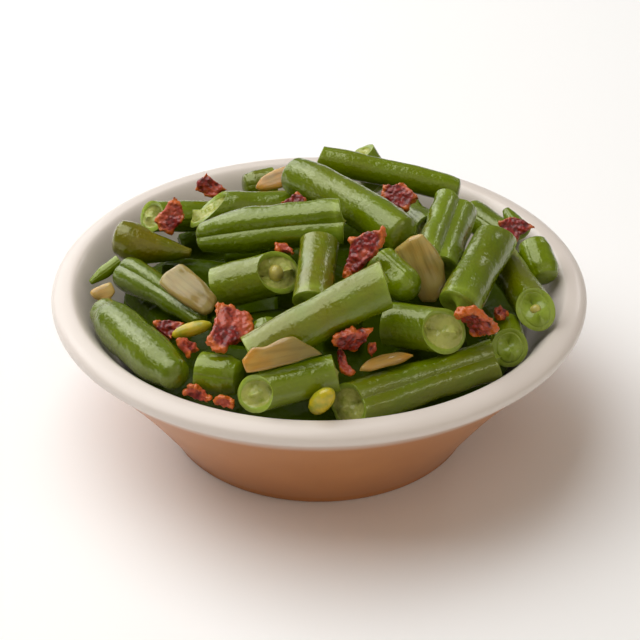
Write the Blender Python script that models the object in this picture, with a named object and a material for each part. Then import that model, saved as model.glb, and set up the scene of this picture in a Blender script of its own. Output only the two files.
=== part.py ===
"""A side dish of cut green beans with onion and bacon, heaped in a stoneware bowl.

The bowl stands on its foot ring at Z = 0, its axis is the Z axis, and -Y is the front.
Each piece that can be seen in the heap is one object. The hidden beans below are one fused object.
Lengths are in metres. Each piece is laid out as it is seen from the front, and then laid in the
bowl: it slides away along the line of sight until it rests on the pieces laid before it.
"""

import math
import random
from collections import namedtuple

import bmesh
import bpy
import numpy as np
from mathutils import Matrix, Vector, noise
from mathutils.geometry import (
    intersect_line_line_2d,
    intersect_line_plane,
    intersect_point_line,
    intersect_point_tri_2d,
)

MM = 0.001

# Bowl
RIM_RADIUS = 60.0 * MM
BOWL_HEIGHT = 36.7 * MM
CREST_RADIUS = 54.8 * MM
LIP_WIDEST_HEIGHT = 35.4 * MM
LIP_EDGE = (59.5 * MM, 33.0 * MM)
OUTER_WALL_PULL = (47.4 * MM, 20.7 * MM)
FOOT_RADIUS = 34.3 * MM
FOOT_HEIGHT = 1.2 * MM
FOOT_INNER_RADIUS = 30.5 * MM
FOOT_RECESS = 1.5 * MM
INNER_WALL_TOP = (53.2 * MM, 34.7 * MM)
INNER_WALL_PULL = (41.0 * MM, 13.0 * MM)
FLOOR_EDGE = (23.0 * MM, 4.2 * MM)
FLOOR_HEIGHT = 4.0 * MM
BOWL_SEGMENTS = 48

# The front view that the heap is laid out in: a frame of 640 pixels a side
VIEW_ELEVATION = math.radians(32.4)
VIEW_DISTANCE = 0.55
VIEW_AIM = Vector((0.2 * MM, 0.0, 26.1 * MM))
PIXELS_PER_METRE = 4407.0
FRAME_MIDDLE = 320.0

# The heap, a dome over the rim
HEAP_RADIUS = 54.0 * MM
HEAP_EDGE_HEIGHT = 38.0 * MM
HEAP_CROWN = 12.5 * MM

# The hidden beans: a layer that lies on a core, both under the dome
LOWER_BEAN_RADIUS = 4.3 * MM
LOWER_BEAN_LENGTHS = ((18.0 * MM, 28.0 * MM), (8.0 * MM, 13.0 * MM))
LOWER_TRIES = 2500
LOWER_CROWD = 1.78
LOWER_COVER = 9.5 * MM
LOWER_MIDDLE = Vector((-3.0 * MM, 3.5 * MM))
LOWER_CLEARANCE = 0.6 * MM
LOWER_UNDERSIDE = 1.75
LOWER_SIDES = 7
CORE_COVER = 6.0 * MM
CORE_RADIUS = 46.5 * MM
CORE_CLEARANCE = 0.8 * MM
CORE_SEGMENTS = 24
CORE_STEPS = 4

# How the pieces are laid. The wall counts only once a piece has come down into the bowl
GAP = 0.45 * MM
WALL_GAP = 0.65 * MM
AHEAD = 9 * MM
SLIDE_STEP = 0.4 * MM
SLIDE_ROUNDS = 26
WALL_ROUND = 16
GIVE_ROUNDS = 400
CLEARING = 1.02
SIDEWAYS_EASE = 0.3
RETREAT = 0.04 * MM
RISE = np.array([0.0, 0.0, 1.0])
HOLD = 0.2
HOLD_ROUNDS = 120

# Details of the pieces
BEAN_SIDES = 10
POD_WALL = 0.9 * MM
CUT_DISH = 0.7 * MM
GROOVE_SPREAD = 0.35
CUT_REACH = 1.1
RIM_BALL = 0.3
CHIP_TILT = math.radians(15)
TEAR_SPACING = 2.5 * MM
TEAR_DEPTH = 0.14
LUMP_SPACING = 2.2 * MM
BACON_UNDERSIDE = 0.88
BACON_TOP = 0.92
ONION_TOP = (0.94, 0.92, 1)
SEED_HOLLOW = 0.16
SHARP_ANGLE = math.radians(50)

SEED = 5

Bean = namedtuple(
    "Bean", "name start end across lift width bend narrow groove ends cuts",
    defaults=((0, 0), 1.0, 0, 0, 0.10, "cc", ((0, 0), (0, 0))))
Chip = namedtuple("Chip", "name corners thick lift lean bow", defaults=(0, (0, 0), 0))
Seed = namedtuple("Seed", "name centre size turn lift")

# Every piece that can be seen, in the order in which it is laid: the furthest from the viewer first.
#
# Bean. start, end: where the middles of the two ends are seen, in pixels of the front view
# across: thickness in mm at the start. lift: mm above the dome at each end
# width: breadth over thickness. bend: mm that the middle bows up
# narrow: the share of its thickness that it loses by its end. groove: depth of the seam's groove
# ends: c cut, r rounded, s slim and rounded, t a tail
# cuts: for each end, how far the cut is turned up, and towards the viewer, as slopes
#
# Chip, a flat piece. corners: its outline in pixels of the front view. thick: mm
# lean: degrees that its face turns right and up. bow: mm that its ends lie further back
#
# Seed. centre: where its middle is seen. size: length, breadth and thickness in mm
# turn: degrees that its length is turned up from the view's right
PIECES = (
    Chip("bacon_back_left", ((206, 171), (216, 181), (228, 190), (218, 197), (205, 197), (195, 190),
         (199, 180)), 2.4, 2, (0, -20)),
    Bean("bean_back_peak", (358, 152), (384, 189), 7.8, (6.5, -1.5), cuts=((0, 0.5), (0, 0))),
    Bean("bean_back_low", (243, 189), (277, 184), 7.6, (-3, -3), ends="rc"),
    Bean("bean_under_crossing", (392, 206), (432, 233), 7.6, (-5, -5)),
    Bean("bean_back_right", (470, 214), (508, 240), 7.6, (-4, -4)),
    Bean("bean_back_left", (152, 213), (219, 213), 7.3, (0, -4), cuts=((0, 0.45), (0, 0))),
    Bean("bean_back_long", (316, 159), (460, 191), 6.6, (5, 2), bend=0.3, ends="cr", cuts=((0.2,
         -0.1), (0, 0))),
    Chip("onion_back_slice", ((253, 187), (261, 176), (272, 169), (288, 166), (302, 164), (312,
         168), (296, 182), (280, 190), (262, 192)), 1.7, 2, (0, 0), 1.2),
    Bean("bean_slant_cut", (205, 209), (298, 208), 8.4, (0, -3), cuts=((1.0, 0.35), (0, 0))),
    Bean("bean_crossing", (293, 178), (403, 235), 9.6, (3, 2), bend=1.0, ends="rr"),
    Chip("bacon_back_crumb", ((298, 192), (308, 202), (303, 207), (284, 208), (279, 204), (288,
         198)), 2.2, 4),
    Chip("bacon_back_right", ((382, 184), (393, 186), (404, 181), (410, 190), (420, 199), (408,
         212), (392, 206), (380, 197)), 2.6, 4),
    Bean("bean_flat_ridged", (456, 205), (437, 262), 9.0, (4, 1), width=1.24, groove=0.24,
         cuts=((0.1, -0.1), (0, 0))),
    Bean("bean_dark_curl", (114, 234), (192, 253), 10.0, (-1, -2), bend=-1.2, narrow=0.35,
         ends="rt"),
    Chip("bacon_upper_left", ((174, 195), (181, 204), (187, 219), (178, 227), (172, 236), (160,
         232), (153, 222), (162, 213)), 2.6, 2, (0, -15)),
    Bean("bean_grooved", (193, 239), (347, 221), 9.7, (3, 4), width=1.06, bend=0.6, groove=0.22,
         ends="sc"),
    Bean("bean_upright", (321, 239), (312, 304), 8.6, (1, 0), cuts=((0, 0.2), (0, 0))),
    Bean("bean_centre_low", (265, 321), (270, 352), 7.0, (-5, -7), ends="rc"),
    Chip("bacon_middle_crumb", ((274, 243), (284, 242), (293, 249), (295, 256), (286, 252), (277,
         251)), 2.0, 1),
    Bean("bean_centre_cut", (214, 290), (281, 271), 9.7, (-1, 3), cuts=((0, 0), (0.1, 0.75))),
    Bean("bean_right_tip", (505, 210), (521, 236), 5.6, (-1, -2), ends="tc"),
    Bean("bean_far_right", (531, 241), (546, 283), 8.0, (-2, -2), ends="rr"),
    Bean("bean_right_down", (499, 254), (535, 310), 8.3, (-3, 0), cuts=((0, 0), (0, 0.75))),
    Chip("bacon_far_right", ((499, 222), (512, 217), (526, 220), (537, 228), (522, 235), (516, 244),
         (503, 236)), 2.4, 1),
    Bean("bean_left_tail", (90, 283), (122, 259), 3.2, (-1, 0), ends="tc"),
    Chip("onion_left_scrap", ((88, 292), (100, 284), (112, 280), (118, 292), (108, 304), (94, 300)),
         1.5, 0),
    Bean("bean_left_dark", (121, 270), (202, 322), 9.0, (0, -2), bend=0.6, narrow=0.5, groove=0.2,
         ends="rr"),
    Chip("bacon_left_crumb", ((152, 321), (168, 320), (186, 323), (178, 332), (171, 340), (160,
         333)), 2.2, -2),
    Chip("onion_right_wedge", ((391, 249), (411, 237), (424, 232), (434, 245), (446, 264), (447,
         281), (436, 304), (419, 304), (408, 280)), 1.8, 0, (0, 0), 1.0),
    Bean("bean_centre_short", (380, 262), (408, 288), 8.2, (-2, -2), cuts=((0, 0), (0.1, 0.5))),
    Bean("bean_right_tall", (497, 239), (459, 304), 9.4, (4, 2), cuts=((-0.3, 0.1), (0, 0))),
    Chip("bacon_centre", ((349, 240), (365, 234), (384, 228), (387, 238), (376, 256), (360, 268),
         (344, 281), (339, 277), (346, 259)), 2.6, 5),
    Bean("bean_right_cut", (383, 324), (449, 331), 9.6, (-1, 0), cuts=((0, 0), (0.1, 0.7))),
    Bean("bean_right_low", (503, 327), (511, 352), 8.0, (-3, -2), cuts=((0, 0), (0, 0.5))),
    Bean("bean_left_plump", (104, 304), (182, 388), 10.4, (1, 0), bend=0.6, ends="ss"),
    Chip("onion_left_wedge", ((156, 281), (163, 269), (180, 260), (192, 267), (208, 285), (219,
         299), (214, 315), (204, 319), (186, 307), (168, 293)), 1.9, 2, (0, 0), 0.8),
    Seed("bean_seed_left", (192, 330), (9.2, 3.6, 3.0), 16, 1),
    Chip("bacon_fat_crumb", ((175, 339), (188, 338), (198, 343), (199, 352), (190, 353), (185, 359),
         (180, 350)), 2.4, -2),
    Bean("bean_front_stub", (197, 371), (242, 378), 9.0, (-2, -2), ends="cr"),
    Chip("bacon_left_large", ((218, 298), (236, 304), (251, 310), (257, 326), (248, 337), (236,
         345), (222, 355), (209, 356), (202, 345), (213, 331)), 2.6, 3),
    Chip("bacon_right_crumb", ((492, 307), (500, 303), (504, 309), (510, 314), (501, 325), (494,
         318)), 2.2, 0),
    Chip("bacon_right_large", ((456, 304), (466, 300), (477, 299), (487, 308), (494, 321), (496,
         338), (480, 341), (464, 345), (466, 330), (462, 318)), 2.6, 1),
    Bean("bean_centre_top", (252, 357), (383, 285), 9.8, (2, 5), bend=0.4, cuts=((0, 0), (-0.2,
         0.3))),
    Chip("bacon_front_curl", ((338, 344), (344, 352), (348, 364), (356, 372), (350, 377), (340,
         372), (337, 358)), 2.0, 0),
    Chip("bacon_front", ((329, 335), (340, 332), (350, 324), (359, 331), (371, 325), (368, 340),
         (360, 355), (347, 352), (336, 347), (330, 342)), 2.4, 2),
    Chip("bacon_front_crumb", ((368, 342), (375, 341), (377, 350), (372, 357), (366, 352)), 2.0, 0),
    Chip("onion_front_sliver", ((355, 371), (366, 360), (383, 352), (402, 351), (420, 354), (408,
         361), (386, 368), (368, 374)), 1.7, 0),
    Bean("bean_front_cut", (253, 397), (340, 371), 7.9, (0, 0), cuts=((0, 0.8), (0, 0))),
    Chip("onion_draped_slice", ((239, 361), (251, 347), (265, 347), (280, 339), (294, 336), (312,
         345), (325, 354), (298, 363), (271, 370), (246, 376)), 1.4, 4, (0, 0), 1.0),
    Bean("bean_front_right", (347, 401), (500, 356), 9.7, (-0.5, -0.5), width=1.05, narrow=0.14,
         groove=0.22, cuts=((0, 0.45), (0, 0.1))),
    Seed("bean_seed_front", (321, 404), (9.2, 5.4, 4.4), 28, 0),
    Chip("bacon_rim_left", ((191, 386), (199, 389), (205, 398), (213, 403), (206, 408), (190, 402),
         (182, 396)), 2.2, -0.5),
    Chip("bacon_rim_right", ((218, 396), (228, 397), (235, 404), (233, 411), (220, 409), (212,
         404)), 2.2, -0.5),
)

BEAN_GREEN = (0.13, 0.24, 0.02)
LOWER_GREEN = (0.07, 0.13, 0.012)
SEED_YELLOW = (0.42, 0.36, 0.03)
ONION_AMBER = (0.48, 0.33, 0.13)
BACON_RED = (0.26, 0.035, 0.018)
STONEWARE = (0.62, 0.55, 0.47)


def clear_scene():
    for obj in list(bpy.data.objects):
        bpy.data.objects.remove(obj)


def material(name, colour, roughness):
    """A Principled material, made once for each name."""
    made = bpy.data.materials.get(name)
    if made is None:
        made = bpy.data.materials.new(name)
        made.use_nodes = True
        shader = made.node_tree.nodes["Principled BSDF"]
        shader.inputs["Base Color"].default_value = (*colour, 1.0)
        shader.inputs["Roughness"].default_value = roughness
        shader.inputs["Metallic"].default_value = 0.0
    return made


def add_object(name, bm, finish):
    """The bmesh as a named object with its faces pointing out."""
    bmesh.ops.recalc_face_normals(bm, faces=bm.faces[:])
    if bm.calc_volume(signed=True) < 0:
        bmesh.ops.reverse_faces(bm, faces=bm.faces[:])
    mesh = bpy.data.meshes.new(name)
    bm.to_mesh(mesh)
    bm.free()
    mesh.shade_smooth()
    mesh.set_sharp_from_angle(angle=SHARP_ANGLE)
    mesh.materials.append(finish)
    obj = bpy.data.objects.new(name, mesh)
    bpy.context.scene.collection.objects.link(obj)
    return obj


# Bowl

def curve_points(start, pull, end, count):
    """Points along a quadratic curve from start to end, both included."""
    points = []
    for i in range(count + 1):
        k = i / count
        points.append(tuple(
            (1 - k) ** 2 * a + 2 * k * (1 - k) * b + k * k * c
            for a, b, c in zip(start, pull, end)
        ))
    return points


def quarter(centre, reach, first, last, count):
    """Points on an ellipse about centre between two angles in degrees, both included."""
    angles = [math.radians(first + (last - first) * i / count) for i in range(count + 1)]
    return [(centre[0] + reach[0] * math.cos(a), centre[1] + reach[1] * math.sin(a)) for a in angles]


def inner_outline():
    """The inside of the bowl, from the crest of the lip down to the middle of the floor."""
    top_r, top_z = INNER_WALL_TOP
    crest = quarter((CREST_RADIUS, top_z), (CREST_RADIUS - top_r, BOWL_HEIGHT - top_z), 90, 180, 3)
    wall = curve_points(INNER_WALL_TOP, INNER_WALL_PULL, FLOOR_EDGE, 8)
    return crest + wall[1:] + [(0.0, FLOOR_HEIGHT)]


def outer_outline():
    """The outside of the bowl, from the middle of the recess below up to the crest of the lip."""
    foot = [
        (0.0, FOOT_RECESS),
        (FOOT_INNER_RADIUS - FOOT_RECESS, FOOT_RECESS),
        (FOOT_INNER_RADIUS, 0.0),
        (FOOT_RADIUS, 0.0),
    ]
    wall = curve_points((FOOT_RADIUS + 0.2 * MM, FOOT_HEIGHT), OUTER_WALL_PULL, LIP_EDGE, 7)
    edge_r, edge_z = LIP_EDGE
    under = quarter(
        (edge_r, LIP_WIDEST_HEIGHT), (RIM_RADIUS - edge_r, LIP_WIDEST_HEIGHT - edge_z), -90, 0, 2)
    over = quarter(
        (CREST_RADIUS, LIP_WIDEST_HEIGHT),
        (RIM_RADIUS - CREST_RADIUS, BOWL_HEIGHT - LIP_WIDEST_HEIGHT), 0, 90, 4)
    return foot + wall + under[1:] + over[1:]


def make_bowl():
    outline = outer_outline() + inner_outline()[1:]
    bm = bmesh.new()
    verts = [bm.verts.new((r, 0.0, z)) for r, z in outline]
    edges = [bm.edges.new(pair) for pair in zip(verts, verts[1:])]
    bmesh.ops.spin(
        bm, geom=verts + edges, cent=(0, 0, 0), axis=(0, 0, 1), dvec=(0, 0, 0),
        angle=2 * math.pi, steps=BOWL_SEGMENTS, use_merge=True, use_duplicate=False)
    bmesh.ops.remove_doubles(bm, verts=bm.verts[:], dist=0.001 * MM)
    return add_object("bowl", bm, material("glazed_stoneware", STONEWARE, 0.25))


# The front view

def view_axes():
    """The view's right, its up, and the way to the viewer."""
    right = Vector((1, 0, 0))
    up = Vector((0, math.sin(VIEW_ELEVATION), math.cos(VIEW_ELEVATION)))
    return right, up, right.cross(up)


def viewer_eye():
    return VIEW_AIM + view_axes()[2] * VIEW_DISTANCE


def sight_line(pixel):
    """The direction in which a pixel of the front view is seen."""
    right, up, _ = view_axes()
    across = (pixel[0] - FRAME_MIDDLE) / PIXELS_PER_METRE
    rise = (FRAME_MIDDLE - pixel[1]) / PIXELS_PER_METRE
    return (VIEW_AIM + right * across + up * rise - viewer_eye()).normalized()


def heap_height(x, y):
    """Height of the heap's dome above a place in the bowl."""
    share = math.hypot(x, y) / HEAP_RADIUS
    return HEAP_EDGE_HEIGHT + HEAP_CROWN * (1 - share * share)


def seen_on_heap(pixel, half, lift):
    """The point of a sight line that lies half below the dome, or half in from the bowl's far side."""
    eye, direction = viewer_eye(), sight_line(pixel)
    reach = VIEW_DISTANCE - 1.5 * HEAP_RADIUS
    point = eye + direction * reach
    while point.z > heap_height(point.x, point.y) - half + lift:
        reach += 0.25 * MM
        point = eye + direction * reach
        if point.y > 0 and point.xy.length > inner_radius(point.z) - half - GAP:
            break
    return point


# Laying the pieces. A set of balls stands for each one, so that what it touches is quick to find

class Body:
    """One piece on its way to its place: a turn, a place and the balls that fill it."""

    def __init__(self, place, turn, balls):
        self.place = np.array(place, float)
        self.turn = np.array(turn, float)
        self.centres = np.array([ball[:3] for ball in balls], float)
        self.radii = np.array([ball[3] for ball in balls], float)
        self.home = self.place.copy()
        self.home_axis = self.turn[:, 0].copy()
        reach = np.abs(self.centres).max(axis=0) + self.radii.mean()
        self.spread = np.array([reach[1] ** 2 + reach[2] ** 2, reach[0] ** 2 + reach[2] ** 2,
                                reach[0] ** 2 + reach[1] ** 2]) / 3

    def balls(self):
        return self.centres @ self.turn.T + self.place

    def rotate(self, step):
        angle = float(np.linalg.norm(step))
        if angle > 1e-12:
            self.turn = np.array(Matrix.Rotation(angle, 3, Vector(step / angle))) @ self.turn

    def give_way(self, arm, way, amount, nearer):
        """Moves the point at arm by amount along way, more readily in depth than across the view."""
        shift = SIDEWAYS_EASE * way + (1 - SIDEWAYS_EASE) * nearer * (way @ nearer)
        lever = self.turn.T @ np.cross(arm, way)
        swing = self.turn @ (lever / self.spread)
        share = amount / (shift @ way + (lever * lever / self.spread).sum())
        self.place = self.place + shift * share
        self.rotate(swing * share)

    def hold_view(self, eye, firmness):
        """Draws the piece back to where it is seen, leaving its depth free."""
        line = (self.home - eye) / np.linalg.norm(self.home - eye)
        drift = self.home - self.place
        self.place = self.place + firmness * (drift - line * (drift @ line))
        axis = self.turn[:, 0]
        wanted = self.home_axis - line * (self.home_axis @ line) + line * (axis @ line)
        self.rotate(firmness * np.cross(axis, wanted / max(np.linalg.norm(wanted), 1e-9)))


class Bowlful:
    """The bowl's inside and the balls of every piece laid in it so far."""

    def __init__(self, balls):
        self.centres = np.array([ball[:3] for ball in balls], float)
        self.radii = np.array([ball[3] for ball in balls], float)
        line = np.array(inner_outline()[2:], float)
        self.line = list(zip(line, line[1:]))

    def add(self, body):
        self.centres = np.concatenate([self.centres, body.balls()])
        self.radii = np.concatenate([self.radii, body.radii])

    def wall_contact(self, centres, radii):
        """The ball deepest in the bowl's wall: its index, its depth and the way out."""
        rho = np.hypot(centres[:, 0], centres[:, 1])
        flat = np.stack([rho, centres[:, 2]], axis=1)
        clear = np.full(len(flat), 1e9)
        out = np.zeros((len(flat), 2))
        for a, b in self.line:
            along = b - a
            share = np.clip(((flat - a) @ along) / (along @ along), 0, 1)
            away = flat - (a + share[:, None] * along)
            inward = np.array([along[1], -along[0]]) / np.linalg.norm(along)
            signed = np.copysign(np.linalg.norm(away, axis=1), away @ inward)
            nearest = np.abs(signed) < np.abs(clear)
            clear = np.where(nearest, signed, clear)
            out[nearest] = inward
        depth = radii + WALL_GAP - clear
        i = int(np.argmax(depth))
        flat_way = centres[i, :2] / max(rho[i], 1e-9) * out[i, 0]
        return i, depth[i], np.array([*flat_way, out[i, 1]])

    def contact(self, body, with_wall=True):
        """The deepest contact of a piece: the touching point, its depth and the way out."""
        centres = body.balls()
        apart = centres[:, None, :] - self.centres[None, :, :]
        distance = np.sqrt((apart ** 2).sum(axis=2))
        depth = body.radii[:, None] + self.radii[None, :] + GAP - distance
        i, j = np.unravel_index(np.argmax(depth), depth.shape)
        if with_wall:
            wall_i, wall_depth, wall_way = self.wall_contact(centres, body.radii)
            if wall_depth > depth[i, j]:
                return centres[wall_i], wall_depth, wall_way, True
        return centres[i], depth[i, j], apart[i, j] / max(distance[i, j], 1e-9), False

    def lay(self, body):
        """Brings a piece from the viewer's side until it rests, and lets it give way where it touches."""
        eye = np.array(viewer_eye())
        nearer = (eye - body.home) / np.linalg.norm(eye - body.home)
        body.place = body.home + nearer * AHEAD
        for turn in range(GIVE_ROUNDS):
            sliding = turn < SLIDE_ROUNDS
            if sliding:
                body.place = body.place - nearer * SLIDE_STEP
            body.hold_view(eye, HOLD * max(0, 1 - turn / HOLD_ROUNDS))
            point, depth, way, walled = self.contact(body, with_wall=turn > WALL_ROUND)
            if depth > 0:
                body.give_way(point - body.place, way, depth * CLEARING, nearer)
                if not sliding:
                    body.place = body.place + (RISE if walled else nearer) * RETREAT
            elif not sliding:
                break
        self.add(body)


def frame_along(axis, face):
    """A turn whose X is axis and whose Z faces as near to face as it can."""
    x = axis.normalized()
    z = (face - x * face.dot(x)).normalized()
    return Matrix((x, z.cross(x), z)).transposed()


# Beans

def end_stations(kind):
    """How far in from an end each ring lies and its girth there, as shares of the radius."""
    return {
        "c": [(0.0, 0.99), (0.35, 1.0)],
        "r": [(0.0, 0.45), (0.25, 0.80), (0.75, 0.98)],
        "s": [(0.0, 0.32), (0.35, 0.62), (1.3, 0.88)],
        "t": [(0.0, 0.30), (0.5, 0.50), (1.8, 0.84)],
    }[kind]


def bean_stations(bean, length):
    """Every ring of a bean as its place along the length and its radius."""
    radius = bean.across * MM / 2
    first = [(-length / 2 + depth * radius, girth) for depth, girth in end_stations(bean.ends[0])]
    last = [(length / 2 - depth * radius, girth) for depth, girth in end_stations(bean.ends[1])]
    start, end = first[-1][0], last[-1][0]
    count = 3 if length > 5 * radius else 1
    middle = [
        (start + (end - start) * (i + 1) / (count + 1), 0.95 if i % 2 else 1.0) for i in range(count)]
    return [
        (x, radius * girth * (1 - bean.narrow * (x / length + 0.5)))
        for x, girth in first + middle + last[::-1]
    ]


def bean_point(bean, length, x, y, z):
    """Where a point of the straight bean lies once it is bowed and its ends are cut aslant."""
    reach = CUT_REACH * bean.across * MM
    half = length / 2
    start, end = bean.cuts
    near_start = max(0.0, 1 - (x + half) / reach)
    near_end = max(0.0, 1 - (half - x) / reach)
    shift = near_start * (start[0] * y + start[1] * z) - near_end * (end[0] * y + end[1] * z)
    bow = bean.bend * MM * (1 - (x / half) ** 2)
    return (x + shift, y + bow, z)


def bean_ring(bean, x, radius):
    """One ring of the straight bean: an oval with a groove along the seam, which faces the viewer."""
    points = []
    for k in range(BEAN_SIDES):
        angle = 2 * math.pi * (k + 0.5) / BEAN_SIDES
        groove = 1 - bean.groove * math.exp(-((angle - math.pi / 2) / GROOVE_SPREAD) ** 2)
        points.append((x, radius * bean.width * math.cos(angle), radius * math.sin(angle) * groove))
    return points


def bean_balls(bean, length):
    """Balls along a bean, with a ring of small ones round each cut."""
    places, sizes = zip(*bean_stations(bean, length))
    count = int(length / (bean.across * MM * 0.25)) + 1
    balls = []
    for i in range(count + 1):
        x = length * (i / count - 0.5)
        size = float(np.interp(x, places, sizes))
        x = min(max(x, 0.9 * size - length / 2), length / 2 - 0.9 * size)
        offset = size * (bean.width - 1)
        for y in {-offset, offset}:
            balls.append((*bean_point(bean, length, x, y, 0), size))
    for kind, x, size in zip(bean.ends, (places[0], places[-1]), (sizes[0], sizes[-1])):
        if kind != "c":
            continue
        small = RIM_BALL * size
        for ring_point in bean_ring(bean, x, size - small):
            point = bean_point(bean, length, *ring_point)
            balls.append((point[0] - math.copysign(small, x), *point[1:], small))
    return balls


def bean_body(bean):
    """The bean's body at the place where it is seen on the heap, and its length."""
    radius = bean.across * MM / 2
    start, end = (
        seen_on_heap(pixel, radius, lift * MM) for pixel, lift in zip((bean.start, bean.end), bean.lift))
    length = (end - start).length
    turn = frame_along(end - start, view_axes()[2])
    return Body((start + end) / 2, turn, bean_balls(bean, length)), length


def close_cut(bm, ring, inward):
    """Closes a cut end with the pod's wall round a shallow dish."""
    face = bm.faces.new(ring)
    bmesh.ops.inset_region(bm, faces=[face], thickness=POD_WALL, depth=0, use_even_offset=True)
    bmesh.ops.translate(bm, verts=face.verts[:], vec=(inward * CUT_DISH, 0, 0))


def make_bean(bean, body, length):
    """A straight bean, ring by ring along its length, then bowed and its ends cut aslant."""
    bm = bmesh.new()
    rings = [
        [bm.verts.new(point) for point in bean_ring(bean, x, radius)]
        for x, radius in bean_stations(bean, length)
    ]
    loops = [[bm.edges.new((ring[k - 1], ring[k])) for k in range(BEAN_SIDES)] for ring in rings]
    for near, far in zip(loops, loops[1:]):
        bmesh.ops.bridge_loops(bm, edges=near + far)
    for kind, ring, inward in ((bean.ends[0], rings[0], 1), (bean.ends[1], rings[-1], -1)):
        if kind == "c":
            close_cut(bm, ring, inward)
        else:
            bm.faces.new(ring)
    for vert in bm.verts:
        vert.co = bean_point(bean, length, *vert.co)
    return stand(add_object(bean.name, bm, material("bean_skin", BEAN_GREEN, 0.3)), body)


def stand(obj, body):
    """Puts an object where its body came to rest."""
    obj.matrix_world = Matrix.Translation(body.place) @ Matrix(body.turn).to_4x4()
    return obj


# Flat pieces

def chip_outline(chip):
    """The chip's turn and place, and its outline in its own plane."""
    right, up, nearer = view_axes()
    centre = (
        sum(x for x, _ in chip.corners) / len(chip.corners),
        sum(y for _, y in chip.corners) / len(chip.corners),
    )
    place = seen_on_heap(centre, chip.thick / 2 * MM, chip.lift * MM)
    lean_right, lean_up = (math.radians(angle) for angle in chip.lean)
    face = nearer + right * math.tan(lean_right) + up * math.tan(lean_up + CHIP_TILT)
    turn = frame_along(right - face * (right.dot(face) / face.length_squared), face)
    eye = viewer_eye()
    outline = []
    for corner in chip.corners:
        hit = intersect_line_plane(eye, eye + sight_line(corner), place, face)
        outline.append((turn.transposed() @ (hit - place)).to_2d())
    return place, turn, outline


def inside_outline(point, outline):
    middle = sum(outline, Vector((0, 0))) / len(outline)
    return any(
        intersect_point_tri_2d(point, middle, a, b) for a, b in zip(outline, outline[1:] + outline[:1]))


def chip_bow(chip, x, reach):
    """How far back a chip lies at x, where it is bowed."""
    return -chip.bow * MM * (x / reach) ** 2


def chip_body(chip):
    """A bed of balls that fills the chip."""
    place, turn, outline = chip_outline(chip)
    radius = chip.thick * MM / 2
    reach = max(abs(point.x) for point in outline)
    inner = [point - point.normalized() * radius * 0.8 for point in outline]
    balls = [(point.x, point.y, chip_bow(chip, point.x, reach), radius) for point in inner]
    step = 1.5 * radius
    count = int(reach * 1.5 / step) + 1
    for i in range(-count, count + 1):
        for j in range(-count, count + 1):
            point = Vector((i * step, j * step))
            if inside_outline(point, inner):
                balls.append((point.x, point.y, chip_bow(chip, point.x, reach), radius))
    return Body(place, turn, balls), outline


def make_bacon(chip, body, outline, index):
    """A torn, fried chip: uneven edges, and a face that swells and sinks."""
    bm = bmesh.new()
    ragged = []
    for a, b in zip(outline, outline[1:] + outline[:1]):
        bite = noise.noise(Vector((a.x, b.y, index)) / TEAR_SPACING) * TEAR_DEPTH
        ragged += [a, a.lerp(b, 0.5) * (0.95 + bite)]
    half = chip.thick * MM / 2
    low = bm.faces.new([bm.verts.new((*(point * BACON_UNDERSIDE), -half * 0.8)) for point in ragged])
    middle = bmesh.ops.extrude_face_region(bm, geom=[low])["geom"]
    rim = [g for g in middle if isinstance(g, bmesh.types.BMVert)]
    bmesh.ops.scale(bm, vec=(1 / BACON_UNDERSIDE, 1 / BACON_UNDERSIDE, 1), verts=rim)
    bmesh.ops.translate(bm, verts=rim, vec=(0, 0, half * 0.9))
    rim_face = [g for g in middle if isinstance(g, bmesh.types.BMFace)]
    upper = bmesh.ops.extrude_face_region(bm, geom=rim_face)["geom"]
    bmesh.ops.delete(bm, geom=rim_face, context="FACES_ONLY")
    top = [g for g in upper if isinstance(g, bmesh.types.BMVert)]
    bmesh.ops.scale(bm, vec=(BACON_TOP, BACON_TOP, 1), verts=top)
    for vert in top:
        lump = noise.noise(Vector((vert.co.x, vert.co.y, index * MM)) / LUMP_SPACING)
        vert.co.z += half * (0.6 + 0.3 * lump)
    top_face = [g for g in upper if isinstance(g, bmesh.types.BMFace)]
    bmesh.ops.poke(bm, faces=top_face, offset=0.1 * half)
    return stand(add_object(chip.name, bm, material("fried_bacon", BACON_RED, 0.4)), body)


def make_onion(chip, body, outline):
    """A piece of one onion layer: a thin plate, bowed as the layer was."""
    bm = bmesh.new()
    half = chip.thick * MM / 2
    low = bm.faces.new([bm.verts.new((*point, -half * 0.9)) for point in outline])
    raised = bmesh.ops.extrude_face_region(bm, geom=[low])["geom"]
    top = [g for g in raised if isinstance(g, bmesh.types.BMVert)]
    bmesh.ops.scale(bm, vec=ONION_TOP, verts=top)
    bmesh.ops.translate(bm, verts=top, vec=(0, 0, half * 1.8))
    reach = max(abs(point.x) for point in outline)
    for share in (-0.5, 0, 0.5):
        bmesh.ops.bisect_plane(
            bm, geom=bm.verts[:] + bm.edges[:] + bm.faces[:], plane_co=(share * reach, 0, 0),
            plane_no=(1, 0, 0))
    for vert in bm.verts:
        vert.co.z += chip_bow(chip, vert.co.x, reach)
    return stand(add_object(chip.name, bm, material("cooked_onion", ONION_AMBER, 0.25)), body)


# Loose seeds

def seed_body(seed):
    """A seed's body: three balls in a row."""
    right, up, nearer = view_axes()
    length, breadth, thick = (side * MM / 2 for side in seed.size)
    place = seen_on_heap(seed.centre, thick, seed.lift * MM)
    turn = math.radians(seed.turn)
    axis = right * math.cos(turn) + up * math.sin(turn)
    offset = breadth - thick
    balls = [
        (x, y, 0, thick * size)
        for x, size in ((thick * 0.9 - length, 0.85), (0, 1.0), (length - thick * 0.9, 0.85))
        for y in {-offset, offset}
    ]
    return Body(place, frame_along(axis, nearer), balls)


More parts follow.
